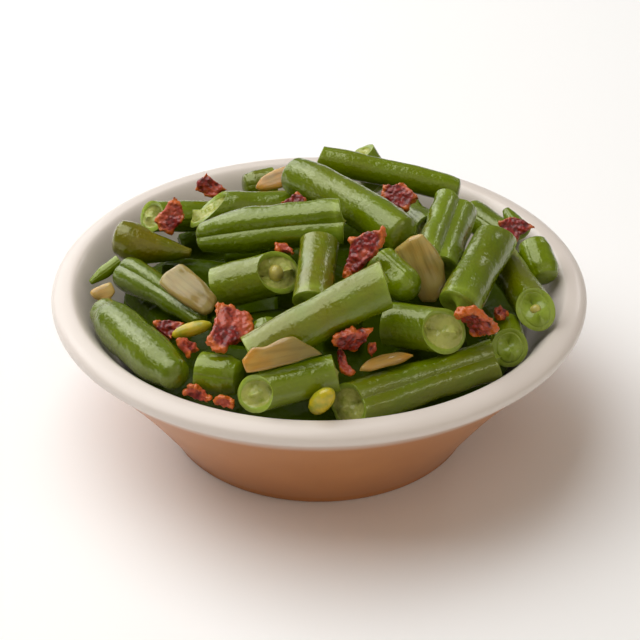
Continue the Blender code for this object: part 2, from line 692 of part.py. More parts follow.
def make_seed(seed, body):
    """A bean seed: a rounded kidney."""
    length, breadth, thick = (side * MM / 2 for side in seed.size)
    bm = bmesh.new()
    bmesh.ops.create_uvsphere(bm, u_segments=10, v_segments=7, radius=1)
    bmesh.ops.rotate(bm, verts=bm.verts[:], cent=(0, 0, 0), matrix=Matrix.Rotation(math.pi / 2, 3, "Y"))
    for vert in bm.verts:
        x, y, z = vert.co
        hollow = SEED_HOLLOW * (1 - x * x) if y < 0 else 0
        vert.co = (x * length, (y + hollow) * breadth, z * thick)
    return stand(add_object(seed.name, bm, material("bean_seed", SEED_YELLOW, 0.3)), body)


# The hidden beans

def inner_radius(height):
    """The bowl's inside radius at a height."""
    line = sorted((z, r) for r, z in inner_outline()[3:])
    return float(np.interp(height, [z for z, _ in line], [r for _, r in line]))


def clamp_to_line(point, a, b):
    """The point of a stretch that lies nearest to a point."""
    _, share = intersect_point_line(point, a, b)
    return a.lerp(b, min(max(share, 0), 1))


def apart(first, second):
    """The least distance between two beans' centre lines as seen from above, 0 where they cross."""
    (a, b), (c, d) = [(start.xy, end.xy) for start, end in (first, second)]
    if intersect_line_line_2d(a, b, c, d):
        return 0.0
    return min(
        (point - clamp_to_line(point, u, v)).length
        for point, u, v in ((a, c, d), (b, c, d), (c, a, b), (d, a, b)))


def cover_height(x, y):
    """Height of the hidden layer's top above a place in the bowl."""
    return heap_height(x, y) - LOWER_COVER


def lower_bean_ends():
    """The two ends of each hidden bean, scattered over the layer: long ones, then short ones between.

    The layer keeps further from the near wall, where the pieces over it lie low.
    """
    draw = random.Random(SEED)
    underside = cover_height(CORE_RADIUS, 0) - LOWER_UNDERSIDE * LOWER_BEAN_RADIUS
    edge = inner_radius(underside) - LOWER_BEAN_RADIUS / 2 - LOWER_CLEARANCE
    reach = edge - LOWER_MIDDLE.length
    laid = []
    for lengths in LOWER_BEAN_LENGTHS:
        for _ in range(LOWER_TRIES):
            heading, way = draw.uniform(0, math.pi), draw.uniform(0, 2 * math.pi)
            middle = LOWER_MIDDLE + Vector((math.cos(way), math.sin(way))) * reach * math.sqrt(draw.random())
            along = Vector((math.cos(heading), math.sin(heading))) * draw.uniform(*lengths) / 2
            ends = (middle - along, middle + along)
            if max((end - LOWER_MIDDLE).length for end in ends) > reach:
                continue
            bean = [Vector((*end, cover_height(*end) - LOWER_BEAN_RADIUS)) for end in ends]
            if all(apart(bean, other) > LOWER_CROWD * LOWER_BEAN_RADIUS for other in laid):
                laid.append(bean)
    return laid


def core_outline():
    """The core's outline, from the middle of its underside up along the wall to its crown."""
    floor = FLOOR_HEIGHT + LOWER_CLEARANCE
    reach = [CORE_RADIUS * (1 - k / CORE_STEPS) for k in range(CORE_STEPS + 1)]
    top = [(r, cover_height(r, 0) - CORE_COVER) for r in reach]
    heights = [floor + (top[0][1] - floor) * k / CORE_STEPS for k in range(CORE_STEPS)]
    wall = [(min(inner_radius(z), CORE_RADIUS + CORE_CLEARANCE) - CORE_CLEARANCE, z) for z in heights]
    return [(0.0, floor)] + wall + top


def make_core(finish):
    """The dense middle of the heap, turned about the bowl's axis."""
    bm = bmesh.new()
    verts = [bm.verts.new((r, 0.0, z)) for r, z in core_outline()]
    edges = [bm.edges.new(pair) for pair in zip(verts, verts[1:])]
    bmesh.ops.spin(
        bm, geom=verts + edges, cent=(0, 0, 0), axis=(0, 0, 1), dvec=(0, 0, 0),
        angle=2 * math.pi, steps=CORE_SEGMENTS, use_merge=True, use_duplicate=False)
    bmesh.ops.remove_doubles(bm, verts=bm.verts[:], dist=0.001 * MM)
    return add_object("lower_core", bm, finish)


def make_lower_bean(a, b, finish):
    bm = bmesh.new()
    bmesh.ops.create_cone(
        bm, cap_ends=True, segments=LOWER_SIDES, radius1=LOWER_BEAN_RADIUS,
        radius2=LOWER_BEAN_RADIUS, depth=(b - a).length)
    turn = Vector((0, 0, 1)).rotation_difference(b - a).to_matrix().to_4x4()
    bmesh.ops.transform(bm, matrix=Matrix.Translation((a + b) / 2) @ turn, verts=bm.verts[:])
    return add_object("lower_part", bm, finish)


def make_lower_beans(ends):
    """The hidden beans and their core, fused into one body."""
    parts = bpy.data.collections.new("lower_bean_parts")
    bpy.context.scene.collection.children.link(parts)
    finish = material("lower_bean_skin", LOWER_GREEN, 0.4)
    core = make_core(finish)
    beans = [make_lower_bean(a, b, finish) for a, b in ends]
    for piece in beans:
        parts.objects.link(piece)
        bpy.context.scene.collection.objects.unlink(piece)
    join = core.modifiers.new("join", "BOOLEAN")
    join.operation = "UNION"
    join.operand_type = "COLLECTION"
    join.collection = parts
    join.solver = "EXACT"
    bpy.context.view_layer.update()
    graph = bpy.context.evaluated_depsgraph_get()
    fused = bpy.data.meshes.new_from_object(core.evaluated_get(graph))
    for piece in [core, *beans]:
        bpy.data.objects.remove(piece)
    bpy.data.collections.remove(parts)
    bm = bmesh.new()
    bm.from_mesh(fused)
    bmesh.ops.dissolve_limit(
        bm, angle_limit=math.radians(0.5), verts=bm.verts[:], edges=bm.edges[:])
    bmesh.ops.triangulate(bm, faces=bm.faces[:])
    return add_object("lower_beans", bm, finish)


def lower_balls(ends):
    """Balls for the hidden beans, and for the top of their core."""
    balls = []
    for a, b in ends:
        count = int((b - a).length / (LOWER_BEAN_RADIUS * 0.6)) + 1
        balls += [(*a.lerp(b, i / count), LOWER_BEAN_RADIUS) for i in range(count + 1)]
    count = int(CORE_RADIUS / LOWER_BEAN_RADIUS)
    for i in range(-count, count + 1):
        for j in range(-count, count + 1):
            x, y = i * LOWER_BEAN_RADIUS, j * LOWER_BEAN_RADIUS
            if math.hypot(x, y) < CORE_RADIUS:
                balls.append((x, y, cover_height(x, y) - CORE_COVER - LOWER_BEAN_RADIUS, LOWER_BEAN_RADIUS))
    return balls


def lay_bean(bowlful, bean):
    body, length = bean_body(bean)
    bowlful.lay(body)
    make_bean(bean, body, length)


def lay_chip(bowlful, chip):
    body, outline = chip_body(chip)
    bowlful.lay(body)
    if chip.name.startswith("onion"):
        make_onion(chip, body, outline)
    else:
        make_bacon(chip, body, outline, len(chip.name))


def lay_seed(bowlful, seed):
    body = seed_body(seed)
    bowlful.lay(body)
    make_seed(seed, body)


LAY = {Bean: lay_bean, Chip: lay_chip, Seed: lay_seed}


def main():
    clear_scene()
    make_bowl()
    ends = lower_bean_ends()
    make_lower_beans(ends)
    bowlful = Bowlful(lower_balls(ends))
    for piece in PIECES:
        LAY[type(piece)](bowlful, piece)


if __name__ == "__main__":
    main()
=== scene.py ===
"""A small glazed side-dish bowl heaped with cooked cut green beans, onion and bacon.

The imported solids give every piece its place. Each one is made again here with its finer form,
the pods' seams and swellings, their cut ends with the seeds inside, and the finish of the real thing.
"""

import math
from collections import namedtuple

import bmesh
import bpy
import numpy as np
from bpy.props import FloatProperty, FloatVectorProperty, IntProperty, PointerProperty
from mathutils import Matrix, Vector, noise
from mathutils.bvhtree import BVHTree


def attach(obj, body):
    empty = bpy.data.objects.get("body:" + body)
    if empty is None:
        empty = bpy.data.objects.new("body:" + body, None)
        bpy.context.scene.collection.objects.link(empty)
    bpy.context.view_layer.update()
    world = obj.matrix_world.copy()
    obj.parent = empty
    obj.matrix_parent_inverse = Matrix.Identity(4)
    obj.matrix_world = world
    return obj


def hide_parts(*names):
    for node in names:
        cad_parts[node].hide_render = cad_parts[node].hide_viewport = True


bl_info = {
    "name": "Bowl of Cut Green Beans",
    "version": (1, 0, 0),
    "blender": (4, 5, 0),
    "location": "View3D > Sidebar > Green Beans",
    "description": "Builds a bowl heaped with cooked cut green beans, onion and bacon",
    "category": "Add Mesh",
}

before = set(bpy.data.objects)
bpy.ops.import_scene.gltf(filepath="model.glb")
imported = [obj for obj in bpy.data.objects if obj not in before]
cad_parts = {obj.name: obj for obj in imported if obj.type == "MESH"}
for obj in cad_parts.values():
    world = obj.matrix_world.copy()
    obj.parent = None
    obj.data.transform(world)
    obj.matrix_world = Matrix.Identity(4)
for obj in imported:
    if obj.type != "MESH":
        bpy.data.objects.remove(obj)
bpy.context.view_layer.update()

MM = 0.001
PHOTO_ELEVATION = math.radians(32.4)
PHOTO_DISTANCE = 0.55
PHOTO_AIM = Vector((0.2 * MM, 0.0, 26.07 * MM))
LENS_MM = 136.35
SENSOR_MM = 36.0


# Sizes and colours

def linear(code):
    """An sRGB hex colour as linear red, green, blue and alpha."""
    shares = [int(code[i:i + 2], 16) / 255 for i in (1, 3, 5)]
    return (*[s / 12.92 if s <= 0.04045 else ((s + 0.055) / 1.055) ** 2.4 for s in shares], 1.0)


def colour(name, description, code):
    """A colour that the panel shows, from an sRGB hex value."""
    return FloatVectorProperty(
        name=name, description=description, subtype="COLOR", size=4, min=0, max=1,
        default=linear(code))


def length(name, description, millimetres):
    """A length that the panel shows, from a real size in millimetres."""
    return FloatProperty(
        name=name, description=description, subtype="DISTANCE", unit="LENGTH",
        default=millimetres * MM)


class BowlSettings(bpy.types.PropertyGroup):
    rim_radius: length("Rim radius", "Radius at the widest part of the lip", 60.0)
    height: length("Height", "Height of the lip's crest above the table", 36.7)
    segments: IntProperty(name="Segments", description="Segments round the bowl", default=192)
    glaze: colour("Glaze", "Cream glaze of the lip and the inside", "#DCD2CA")
    tan: colour("Bare tan", "Warm tan of the wall below the lip", "#BC7C42")
    shade: colour("Deep tan", "Browner patches of the wall", "#A6662E")


class BeanSettings(bpy.types.PropertyGroup):
    sides: IntProperty(name="Sides", description="Faces round a pod", default=56)
    rows: IntProperty(name="Rows", description="Faces along a pod", default=46)
    pod_wall: length("Pod wall", "Thickness of the pod's flesh at a cut", 1.15)
    suture: length("Suture", "Depth of the line where the two halves of a pod meet", 0.05)
    seed_pitch: length("Seed pitch", "Distance from seed to seed in a pod", 9.5)
    bright: colour("Bright green", "Skin of the greener pods", "#708600")
    deep: colour("Deep green", "Skin of the darker pods", "#4A5C00")
    # Darker than the pods' own greens: painted shade, standing for the shadow deep in the heap between the
    # pods
    painted_shade_green: colour("Shaded green", "Skin of the beans deep in the heap", "#384800")
    olive: colour("Olive", "Skin that turned olive in cooking", "#746400")
    wall: colour("Cut wall", "Flesh of the pod where it is cut", "#8EA234")
    pith: colour("Pith", "Soft flesh round the seeds", "#AEB25E")
    seed: colour("Seed", "Seeds inside the pods", "#D2C460")
    seed_shade: colour("Seed shade", "Greener patches of those seeds", "#A8A050")


class SeedSettings(bpy.types.PropertyGroup):
    ripe: colour("Ripe seed", "Yellow loose seed", "#C8B018")
    green: colour("Green seed", "Greener loose seed", "#949A1C")


class OnionSettings(bpy.types.PropertyGroup):
    pale: colour("Pale onion", "Onion that stayed pale", "#B8A45E")
    amber: colour("Amber onion", "Onion browned in the pan", "#C08626")
    clear: colour("Glassy onion", "Onion cooked clear", "#827834")
    vein: colour("Vein", "Veins of an onion layer", "#6E5A22")
    rib_pitch: length("Rib pitch", "Distance between the veins of an onion layer", 0.9)


class BaconSettings(bpy.types.PropertyGroup):
    lean: colour("Lean", "Fried lean meat", "#921608")
    dark: colour("Dark lean", "Lean meat fried darker", "#5E0A04")
    fat: colour("Fat", "Streaks of fat", "#C85A3C")
    crisp: colour("Crisp", "Fat browned at the edges", "#C86414")
    grain: length("Grain", "Size of the meat's grain", 1.0)


class StageSettings(bpy.types.PropertyGroup):
    floor: colour("Floor", "Plain pale floor", "#F8F8F8")
    key: FloatProperty(
        name="Key light", description="Power of the softbox", unit="POWER", default=6.9)
    fill: FloatProperty(
        name="Fill light", description="Power of the card in front", unit="POWER", default=2.6)
    window: FloatProperty(
        name="Window", description="Power of the light from behind on the left", unit="POWER", default=2.4)
    glint: FloatProperty(
        name="Glint lamps", description="Power of the small bright lamps", unit="POWER", default=0.16)
    sky: FloatProperty(
        name="Room light", description="Strength of the light from all round", default=0.2)
    sky_tint: colour("Room tint", "Colour of the light from all round", "#FFF6E8")


# What each piece looks like

# heading: the way from the start to the end as seen from the front, in degrees, 0 to the right
# ends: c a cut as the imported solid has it, e a cut seen edge-on from the front, r rounded, t a tail
# tone: 0 deep green to 1 bright green. olive: how far its patches turned olive, 0 to 1
# furrow: depth of the broad furrow along the seam, as a share of the radius
# seam: where the seam lies round the pod, in degrees, 90 towards the viewer
# hollow: depth of each cut's hollow in mm. seeds: for each end, the seed's size as a share of
# the radius, or 0 where none shows
Pod = namedtuple(
    "Pod", "node heading ends tone olive furrow seam hollow seeds",
    defaults=(0, 90, (1.0, 1.0), (0, 0)))

CUTS = "ce"

# The zones of a pod's surface, from the outside in, in the order of its materials
SKIN, WALL, PITH, INNER_SEED = range(4)

# A cut hollowed less than this, in mm, shows smooth flesh and no pith
LEAST_PITH_HOLLOW = 0.25

# How a packed pod is measured: rays round it, steps along it, and how many rays have to hit its side
RAYS = 24
TRACE_STEPS = 40
LEAST_HITS = 20
# A flat-sided solid's rays fall this much short of the round pod that it stands for
ROUNDER = 1.03
# A face that looks along the axis by less than this share is the pod's side, and by more than
# the next its cap
SIDE_FACING = 0.5
CAP_FACING = 0.45
# A cap's rim lies beyond this share of the radius, and within so many radii of the tip
RIM_SHARE = 0.86
RIM_REACH = 2.5
# The most that a cut seen edge-on may lean, as rise over run
MOST_SLANT = 0.4

# How wide the broad furrow and the seam's line are, in radians round the pod, and what share of
# the furrow's depth the line adds to its own
FURROW_WIDTH = 0.36
SUTURE_WIDTH = 0.05
SUTURE_IN_FURROW = 0.12
# The low lips beside the seam: their height as a share of the line's depth, and their place and
# width in radians
LIP_HEIGHT = 0.45
LIP_PLACE = 0.16
LIP_WIDTH = 0.1
# How far the skin swells over the seeds, as a share of the radius, and which height of that wave,
# from 0 to 1, lies on the plain tube
SWELLING = 0.045
SWELL_MIDDLE = 0.6

# How much closer a pod's faces lie at its seams, and its rows at its ends
SEAM_CROWDING = 0.3
END_CROWDING = 0.12
# How far a cut's paleness shows through the skin, in radii, and how strong it is at the cut
PALE_REACH = 0.28
PALE_SHARE = 0.6
# Keeps the pattern and the swellings of each pod apart from the next one's
PATTERN_STEP = 40 * MM
PHASE_STEP = 1.7

# How far a cut's rim strays from flat, how closely its waves follow each other, and by what
# share the thickness of the wall varies
CUT_WAVER = 0.12 * MM
CUT_WAVES = 1.7
WALL_WAVER = 0.18
# Dents in the skin: how deep, and how many mm apart
DENTS = ((0.2 * MM, 6), (0.04 * MM, 2.2))
LOWER_DENTS = (0.25 * MM, 5)
# A seed in a cut: how deep in the pith it sits, and its shape, as shares of its size
SEED_SUNK = 0.1
SEED_SHAPE = (0.9, 1.0, 0.82)

PODS = (
    Pod("bean_back_peak", -55, "cc", 0.5, 0.1, 0, 60),
    Pod("bean_back_low", 8, "rc", 0.3, 0.3, 0.05),
    Pod("bean_under_crossing", -34, "cc", 0.3, 0.1),
    Pod("bean_back_right", -34, "cc", 0.3, 0.1, 0.05),
    Pod("bean_back_left", 0, "cc", 0.6, 0.1, 0, 110, (0.4, 0.4)),
    Pod("bean_back_long", -12.5, "er", 0.75, 0.15, 0, 40),
    Pod("bean_slant_cut", 0.6, "cc", 0.5, 0.1, 0, 130, (0.3, 0.3)),
    Pod("bean_crossing", -27, "rr", 0.5, 0.15, 0, 150),
    Pod("bean_flat_ridged", -108, "ee", 0.75, 0.1, 0.2, 90, (0.2, 0.2)),
    Pod("bean_dark_curl", -14, "rt", 0.25, 0.75, 0, 60),
    Pod("bean_grooved", 7, "re", 0.55, 0.05, 0.2, 95, (0.3, 0.3)),
    Pod("bean_upright", -98, "ee", 0.5, 0.5, 0, 20, (0.2, 0.2)),
    Pod("bean_centre_low", -81, "rc", 0.6, 0.1),
    Pod("bean_centre_cut", 16, "cc", 0.55, 0.25, 0, 140, (0.6, 0.5), (0, 0.4)),
    Pod("bean_right_tip", -58, "tc", 0.5, 0.1),
    Pod("bean_far_right", -70, "rr", 0.8, 0.05, 0, 120),
    Pod("bean_right_down", -57, "cc", 0.5, 0.35, 0, 25, (0.4, 0.15), (0, 0.3)),
    Pod("bean_left_tail", 37, "tc", 0.9, 0.0),
    Pod("bean_left_dark", -33, "rr", 0.25, 0, 0.14, 75),
    Pod("bean_centre_short", -43, "cr", 0.8, 0.05, 0, 60, (0.4, 0.4)),
    Pod("bean_right_tall", -120, "ee", 0.4, 0.2, 0, 170, (0.2, 0.2)),
    Pod("bean_right_cut", -6, "cc", 0.6, 0.1, 0, 140, (0.4, 0.45)),
    Pod("bean_right_low", -72, "cc", 0.75, 0.1, 0, 140, (0.4, 0.1)),
    Pod("bean_left_plump", -47, "rr", 0.35, 0.1, 0, 20),
    Pod("bean_front_stub", -9, "cr", 0.65, 0.1, 0.05, 100, (0.3, 0.3)),
    Pod("bean_centre_top", 29, "ce", 0.6, 0.45, 0, 200, (0.4, 0.2)),
    Pod("bean_front_cut", 17, "ce", 0.6, 0.1, 0, 190, (1.8, 0.3)),
    Pod("bean_front_right", 16, "ce", 0.55, 0.25, 0.16, 78, (0.3, 0.2)),
)

# For each piece its left and its right end: how amber it is, and how glassy
ONIONS = {
    "onion_back_slice": ((0.75, 0.0), (0.7, 0.1)),
    "onion_left_scrap": ((0.5, 0.0), (0.1, 0.0)),
    "onion_right_wedge": ((0.15, 0.0), (0.1, 0.15)),
    "onion_left_wedge": ((0.0, 0.3), (0.25, 0.55)),
    "onion_front_sliver": ((0.45, 0.1), (0.9, 0.2)),
    "onion_draped_slice": ((0.95, 0.0), (0.1, 0.9)),
}

# tone: 0 dark lean to 1 fat and crisp
BACONS = {
    "bacon_back_left": 0.55,
    "bacon_back_crumb": 0.2,
    "bacon_back_right": 0.15,
    "bacon_upper_left": 0.35,
    "bacon_middle_crumb": 0.6,
    "bacon_far_right": 0.25,
    "bacon_left_crumb": 0.4,
    "bacon_centre": 0.3,
    "bacon_fat_crumb": 0.95,
    "bacon_left_large": 0.55,
    "bacon_right_crumb": 0.55,
    "bacon_right_large": 0.4,
    "bacon_front_curl": 0.6,
    "bacon_front": 0.3,
    "bacon_front_crumb": 0.65,
    "bacon_rim_left": 0.9,
    "bacon_rim_right": 0.8,
}

# For each loose seed the two colours that its clouds run between
SEEDS = {"bean_seed_left": ("green", "ripe"), "bean_seed_front": ("ripe", "green")}

# Voxel size and rounds of smoothing of the pieces that are remeshed
LOWER_MESH = (0.6 * MM, 8)
SEED_MESH = (0.25 * MM, 8)
ONION_MESH = (0.26 * MM, 90)
BACON_MESH = (0.22 * MM, 3)

# A flat piece's edge starts at this share of its reach, and is full after so much more
EDGE_START = 0.55
EDGE_BREADTH = 0.4

# How far the lip stands over the wall and how deep it turns under, the hollow under the foot, and
# the height of the bowl's inside at its middle
LIP_OVERHANG = 0.5 * MM
LIP_UNDERCUT = 1.5 * MM
FOOT_RECESS = 1.5 * MM
INNER_FLOOR = 4.0 * MM

# How far below the crest the cream glaze starts to turn tan, and over what height it does
TAN_START = 3.0 * MM
TAN_FADE = 4.5 * MM

# The floor's radius in metres
FLOOR_RADIUS = 3.0

# For each light the setting that gives its power, the side of its square in metres, its place, and
# its tint. All of them face the bowl
LIGHTS = {
    "softbox": ("key", 0.9, (-0.34, 0.1, 0.72), "#FFFFFF"),
    "window": ("window", 0.6, (-0.48, 0.7, 0.4), "#FFFFFF"),
    "front_card": ("fill", 1.4, (0.42, -0.76, 0.6), "#FFEED6"),
    "right_glint": ("glint", 0.1, (0.55, -0.32, 0.42), "#FFFFFF"),
    "back_glint": ("glint", 0.12, (0.38, 0.6, 0.34), "#FFFFFF"),
}


# Materials

def per_mm(millimetres):
    """The scale at which a texture's unit is this many millimetres."""
    return 1 / (millimetres * MM)


def new_material(name):
    """A material, its node tree and its Principled shader."""
    made = bpy.data.materials.new(name)
    made.use_nodes = True
    return made, made.node_tree, made.node_tree.nodes["Principled BSDF"]


def add_node(tree, kind, inputs=None, **settings):
    """Adds a node. settings are its own; inputs hold a value or a socket to link for each input."""
    node = tree.nodes.new("ShaderNode" + kind)
    for name, value in settings.items():
        setattr(node, name, value)
    for key, value in (inputs or {}).items():
        if isinstance(value, bpy.types.NodeSocket):
            tree.links.new(value, node.inputs[key])
        else:
            node.inputs[key].default_value = value
    return node


def connect(tree, shader, **sockets):
    """Links sockets to the shader's inputs. The inputs' names have underscores for spaces."""
    for name, socket in sockets.items():
        tree.links.new(socket, shader.inputs[name.replace("_", " ")])


def set_values(shader, **values):
    """Sets the shader's inputs, named as connect names them."""
    for name, value in values.items():
        shader.inputs[name.replace("_", " ")].default_value = value


def mark(tree, name, output="Fac"):
    """What a piece's points are marked with under this name."""
    return add_node(tree, "Attribute", attribute_name=name).outputs[output]


def drawn_out(tree, place, share):
    """The place with its length shrunk to this share, which draws a pattern on it out into streaks."""
    return add_node(tree, "Mapping", {"Vector": place, "Scale": (share, 1, 1)}).outputs["Vector"]


def clouds(tree, place, size, detail):
    """A noise pattern whose unit is this length."""
    inputs = {"Vector": place, "Scale": 1 / size, "Detail": detail}
    return add_node(tree, "TexNoise", inputs).outputs["Fac"]


def calculate(tree, operation, *values, **settings):
    """Sums or products of sockets and numbers."""
    return add_node(
        tree, "Math", dict(enumerate(values)), operation=operation, **settings).outputs[0]


def remap(tree, value, low, high, first=0.0, last=1.0):
    """Runs from first to last while the value goes from low to high."""
    inputs = {"Value": value, "From Min": low, "From Max": high, "To Min": first, "To Max": last}
    return add_node(tree, "MapRange", inputs).outputs["Result"]


def mix(tree, share, first, second):
    """Runs from the first colour to the second as the share goes from 0 to 1."""
    # The node has sockets of these names for numbers and vectors too, so its colours go by place
    inputs = {0: share, 6: first, 7: second}
    return add_node(tree, "Mix", inputs, data_type="RGBA").outputs[2]


def relief(tree, height, depth, strength, **under):
    """A bumpy surface's normal, also on top of another one that is given as Normal."""
    inputs = {"Height": height, "Distance": depth, "Strength": strength, **under}
    return add_node(tree, "Bump", inputs).outputs["Normal"]


def bean_skin(name, settings, deep, bright, oil):
    """Skin of a cooked green bean: a thin smooth cuticle, wet with oil, over watery green flesh.

    The cuticle mirrors the room in broad bands, tinted by the flesh, whose borders break up where the
    oil on it beads. The colour drifts in streaks along the pod, and pales near a cut.
    """
    made, tree, shader = new_material(name)
    place = mark(tree, "pod_place", "Vector")
    tone = mark(tree, "pod_tone")
    browned = mark(tree, "pod_olive")
    near_cut = mark(tree, "pod_cut")
    along = drawn_out(tree, place, 0.12)
    streaks = clouds(tree, along, 2.2 * MM, 3)
    blotches = clouds(tree, place, 9 * MM, 2)
    drift = calculate(tree, "MULTIPLY_ADD", streaks, 0.8, -0.4)
    share = calculate(tree, "ADD", tone, drift, use_clamp=True)
    green = mix(tree, share, deep, bright)
    patch = remap(tree, blotches, 0.3, 0.62)
    brown_share = calculate(tree, "MULTIPLY", patch, browned)
    skin = mix(tree, brown_share, green, settings.olive)
    paled = mix(tree, near_cut, skin, settings.wall)
    wrinkles = clouds(tree, along, 0.8 * MM, 2)
    beads = clouds(tree, place, 1.3 * MM, 4)
    wrinkled = relief(tree, wrinkles, 0.1 * MM, 0.35)
    beaded = relief(tree, beads, 0.3 * MM, 0.8, Normal=wrinkled)
    slick = remap(tree, beads, 0.4, 0.62, 0.06, 0.16)
    connect(tree, shader, Base_Color=paled, Normal=beaded, Roughness=slick)
    set_values(
        shader, IOR=1.64, Specular_IOR_Level=0.5 * oil, Specular_Tint=(0.98, 1.0, 0.66, 1.0),
        Subsurface_Weight=0.15, Subsurface_Scale=0.8 * MM, Subsurface_Radius=(1.0, 0.9, 0.1),
        Coat_Weight=0.2 * oil, Coat_Roughness=0.03, Coat_IOR=1.4)
    return made


def cut_wall(settings):
    """The pod's wall where a knife went through: watery flesh, paler than the skin, with fine pores."""
    made, tree, shader = new_material("cut_pod_wall")
    place = mark(tree, "pod_place", "Vector")
    pores = clouds(tree, place, 0.9 * MM, 3)
    mottled = mix(tree, remap(tree, pores, 0.1, 0.5), settings.bright, settings.wall)
    connect(tree, shader, Base_Color=mottled, Normal=relief(tree, pores, 0.15 * MM, 0.5))
    set_values(
        shader, Roughness=0.3, IOR=1.4, Subsurface_Weight=0.3, Subsurface_Scale=1.0 * MM,
        Subsurface_Radius=(0.9, 1.0, 0.2), Coat_Weight=0.4, Coat_Roughness=0.12)
    return made


def pod_pith(settings):
    """Soft wet pith round the seeds: translucent, bubbled and shiny."""
    made, tree, shader = new_material("pod_pith")
    place = mark(tree, "pod_place", "Vector")
    bubbles = add_node(
        tree, "TexVoronoi", {"Vector": place, "Scale": per_mm(1.1)}).outputs["Distance"]
    cloudy = clouds(tree, place, 1.8 * MM, 3)
    flesh = mix(tree, remap(tree, cloudy, 0.2, 0.52), settings.bright, settings.pith)
    connect(tree, shader, Base_Color=flesh, Normal=relief(tree, bubbles, 0.3 * MM, 0.7))
    set_values(
        shader, Roughness=0.15, IOR=1.38, Subsurface_Weight=0.35, Subsurface_Scale=1.5 * MM,
        Subsurface_Radius=(0.8, 1.0, 0.4))
    return made


def seed_flesh(name, first, second):
    """A cooked bean seed: smooth thin coat over mealy flesh, moist, with a soft waxy shine."""
    made, tree, shader = new_material(name)
    place = add_node(tree, "TexCoord").outputs["Object"]
    cloudy = clouds(tree, place, 2.4 * MM, 3)
    coat = mix(tree, remap(tree, cloudy, 0.35, 0.65), first, second)
    connect(tree, shader, Base_Color=coat, Normal=relief(tree, cloudy, 0.2 * MM, 0.4))
    set_values(
        shader, Roughness=0.3, IOR=1.42, Subsurface_Weight=0.25, Subsurface_Scale=1.2 * MM,
        Subsurface_Radius=(1.0, 0.8, 0.2), Coat_Weight=0.4, Coat_Roughness=0.12)
    return made


def fried_onion(settings):
    """A layer of onion cooked soft: milky to glassy, browned in places, wet, with faint veins along it."""
    made, tree, shader = new_material("glassy_onion")
    place = mark(tree, "layer_place", "Vector")
    amber = mark(tree, "layer_tone")
    clear = mark(tree, "layer_clear")
    along = drawn_out(tree, place, 0.1)
    veins = clouds(tree, along, settings.rib_pitch, 2)
    patches = clouds(tree, place, 3.5 * MM, 4)
    drift = calculate(tree, "MULTIPLY_ADD", patches, 1.4, -0.7)
    share = calculate(tree, "ADD", amber, drift, use_clamp=True)
    flesh = mix(tree, share, settings.pale, settings.amber)
    glassy = mix(tree, clear, flesh, settings.clear)
    veined = mix(tree, remap(tree, veins, 0.45, 0.7, 0.0, 0.42), glassy, settings.vein)
    connect(
        tree, shader, Base_Color=veined, Normal=relief(tree, veins, 0.2 * MM, 0.5),
        Transmission_Weight=calculate(tree, "MULTIPLY", clear, 0.35))
    set_values(
        shader, Roughness=0.28, IOR=1.38, Subsurface_Weight=0.5, Subsurface_Scale=2.0 * MM,
        Subsurface_Radius=(1.0, 0.7, 0.3), Coat_Weight=0.6, Coat_Roughness=0.12)
    return made


def fried_bacon(settings):
    """Fried bacon: grainy dark red lean, pink fat in streaks, crisp orange edges, all wet with fat."""
    made, tree, shader = new_material("fried_bacon")
    place = mark(tree, "rasher_place", "Vector")
    tone = mark(tree, "rasher_tone")
    edge = mark(tree, "rasher_edge")
    grain = clouds(tree, place, settings.grain, 4)
    bands = clouds(tree, place, 4 * MM, 3)
    lean = mix(tree, remap(tree, grain, 0.38, 0.62), settings.dark, settings.lean)
    fat_reach = calculate(tree, "MULTIPLY_ADD", tone, 0.3, bands)
    streaked = mix(tree, remap(tree, fat_reach, 0.62, 0.74, 0.0, 0.75), lean, settings.fat)
    crisp_reach = calculate(tree, "ADD", edge, bands)
    meat = mix(tree, remap(tree, crisp_reach, 0.75, 1.15, 0.0, 0.85), streaked, settings.crisp)
    connect(tree, shader, Base_Color=meat, Normal=relief(tree, grain, 0.4 * MM, 0.8))
    set_values(
        shader, Roughness=0.4, IOR=1.45, Subsurface_Weight=0.2, Subsurface_Scale=0.9 * MM,
        Subsurface_Radius=(1.0, 0.2, 0.08), Coat_Weight=0.35, Coat_Roughness=0.1)
    return made


def glazed_china(settings):
    """Vitrified china under a thick clear glaze: cream on the lip and inside, tan down the wall."""
    made, tree, shader = new_material("glazed_stoneware")
    place = add_node(tree, "TexCoord").outputs["Object"]
    wall = mix(tree, clouds(tree, place, 16 * MM, 3), settings.shade, settings.tan)
    body = mix(tree, mark(tree, "tan_share"), settings.glaze, wall)
    ripple = clouds(tree, place, 9 * MM, 1)
    connect(tree, shader, Base_Color=body, Normal=relief(tree, ripple, 0.12 * MM, 0.3))
    set_values(shader, Roughness=0.42, IOR=1.45, Coat_Weight=0.3, Coat_Roughness=0.16)
    return made


# Building

def cad_mesh(node):
    """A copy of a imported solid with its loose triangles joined."""
    bm = bmesh.new()
    bm.from_mesh(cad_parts[node].data)
    bmesh.ops.remove_doubles(bm, verts=bm.verts[:], dist=0.001 * MM)
    return bm


def finished(name, bm, materials, node):
    """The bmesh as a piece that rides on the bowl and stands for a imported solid."""
    mesh = bpy.data.meshes.new(name)
    bm.to_mesh(mesh)
    bm.free()
    mesh.shade_smooth()
    for material in materials:
        mesh.materials.append(material)
    piece = bpy.data.objects.new(name, mesh)
    bpy.context.scene.collection.objects.link(piece)
    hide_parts(node)
    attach(piece, "root")
    return piece


def viewer():
    """The way from the bowl to the photo's camera."""
    return Vector((0, -math.cos(PHOTO_ELEVATION), math.sin(PHOTO_ELEVATION)))


def screen_way(degrees):
    """A direction in the photo's plane."""
    up = Vector((0, math.sin(PHOTO_ELEVATION), math.cos(PHOTO_ELEVATION)))
    angle = math.radians(degrees)
    return Vector((1, 0, 0)) * math.cos(angle) + up * math.sin(angle)


